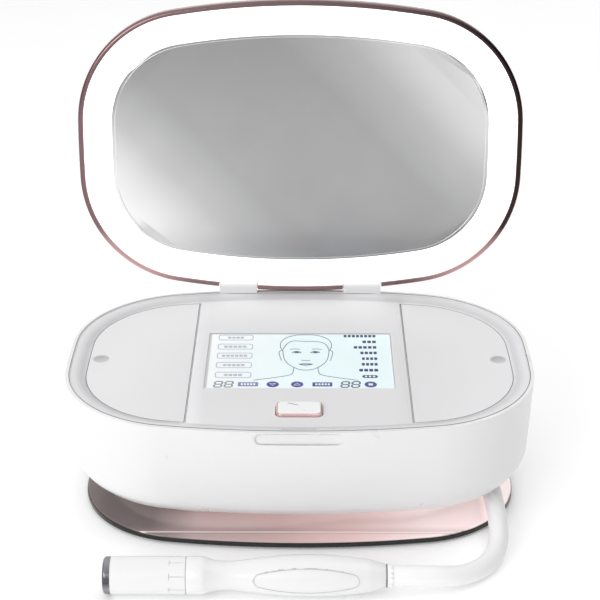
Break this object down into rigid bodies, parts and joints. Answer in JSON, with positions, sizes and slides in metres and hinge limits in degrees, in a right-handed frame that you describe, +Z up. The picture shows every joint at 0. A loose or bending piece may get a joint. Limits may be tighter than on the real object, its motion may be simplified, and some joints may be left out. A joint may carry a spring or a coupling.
{
  "type": "facial vacuum console",
  "caption": "Table-top facial vacuum console with a lit mirror lid, a screen deck with covered wells and a start key, and a hand wand on a hose wound round its stand.",
  "frame": {"origin": "middle of the foot pad's underside, on the table", "axes": "+Z up, -Y towards the user (the front, where the wand lies), +X to the user's right"},
  "size_m": [0.262, 0.2491, 0.2529],
  "materials": {
    "case_white": "satin white moulding",
    "deck_white": "fine matt white",
    "lid_white": "gloss white moulding",
    "wand_white": "satin white moulding",
    "hose_white": "soft matt white",
    "rose_metal": "plated rose gold",
    "rose_plate": "polished rose gold",
    "dark_chrome": "dark chrome",
    "mirror_silver": "silvered glass",
    "diffuser_white": "opal white",
    "screen_glass": "clear lens",
    "lcd_pale": "pale cyan display",
    "foot_rubber": "matt black",
    "board_green": "solder mask",
    "dark_plastic": "matt black",
    "steel": "plain steel",
    "clear_tube": "silicone",
    "abrasive": "fine grit",
    "filter_felt": "felt",
    "seal_rubber": "matt",
    "pump_metal": "die cast"
  },
  "bodies": {
    "console": {"backlight": "diffuser_white", "base_pad": "foot_rubber", "board_components": "dark_plastic", "board_screws": "steel", "case_screws": "steel", "deck_magnet": "steel", "display_holder": "dark_plastic", "hinge_knuckles": "case_white", "hose_connector": "wand_white", "hose_free": "hose_white", "hose_port": "dark_plastic", "hose_wound": "hose_white", "key_board": "board_green", "key_dome": "seal_rubber", "lcd_module": "lcd_pale", "left_tray": "deck_white", "line_filter": "clear_tube", "lower_case": "case_white", "main_board": "board_green", "pedestal": "case_white", "pedestal_screws": "steel", "plate_screws": "steel", "power_inlet": "dark_plastic", "pump_bracket": "steel", "pump_grommets": "seal_rubber", "pump_head": "dark_plastic", "pump_motor": "pump_metal", "right_tray": "deck_white", "screen_lens": "screen_glass", "stand_plate": "rose_plate", "tact_switch": "dark_plastic", "top_deck": "deck_white", "vacuum_tubes": "clear_tube"},
    "mirror_lid": {"lid_shell": "lid_white", "lid_rim": "rose_metal", "light_diffuser": "diffuser_white", "mirror_glass": "mirror_silver", "mirror_frame": "dark_plastic", "led_board": "board_green", "lid_leds": "diffuser_white", "lid_screws": "steel", "lid_magnet": "steel", "hinge_pins": "steel"},
    "left_wing": {"left_cover": "deck_white", "left_cover_pins": "steel"},
    "right_wing": {"right_cover": "deck_white", "right_cover_pins": "steel"},
    "start_key": {"start_key_skirt": "rose_metal", "start_key_cap": "case_white"},
    "handpiece": {"handle_shell": "wand_white", "grip_inlays": "wand_white", "air_pipe": "clear_tube", "tip_seal": "seal_rubber"},
    "tip_head": {"tip_sleeve": "wand_white", "tip_ring": "dark_chrome", "abrasive_disc": "abrasive", "tip_filter": "filter_felt"}
  },
  "joints": [
    {"name": "lid_hinge", "type": "hinge", "parent": "console", "child": "mirror_lid", "pos_m": [0, 0.0865, 0.0794], "axis": [-1, 0, 0], "range_deg": [-95.7, 0]},
    {"name": "left_cover_hinge", "type": "hinge", "parent": "console", "child": "left_wing", "pos_m": [-0.0611, 0, 0.0728], "axis": [0, 1, 0], "range_deg": [0, 80]},
    {"name": "right_cover_hinge", "type": "hinge", "parent": "console", "child": "right_wing", "pos_m": [0.0611, 0, 0.0728], "axis": [0, -1, 0], "range_deg": [0, 80]},
    {"name": "start_key_press", "type": "slide", "parent": "console", "child": "start_key", "axis": [0, 0, 1], "range_m": [-0.0012, 0], "stiffness_N_per_m": 400, "springref_m": 0.002, "deforming": ["key_dome"]},
    {"name": "handpiece_pull", "type": "slide", "parent": "console", "child": "handpiece", "axis": [-1, 0, 0], "range_m": [0, 0.04]},
    {"name": "tip_twist", "type": "hinge", "parent": "handpiece", "child": "tip_head", "pos_m": [-0.0577, -0.1215, 0.01075], "axis": [1, 0, 0], "range_deg": [0, 25]}
  ]
}
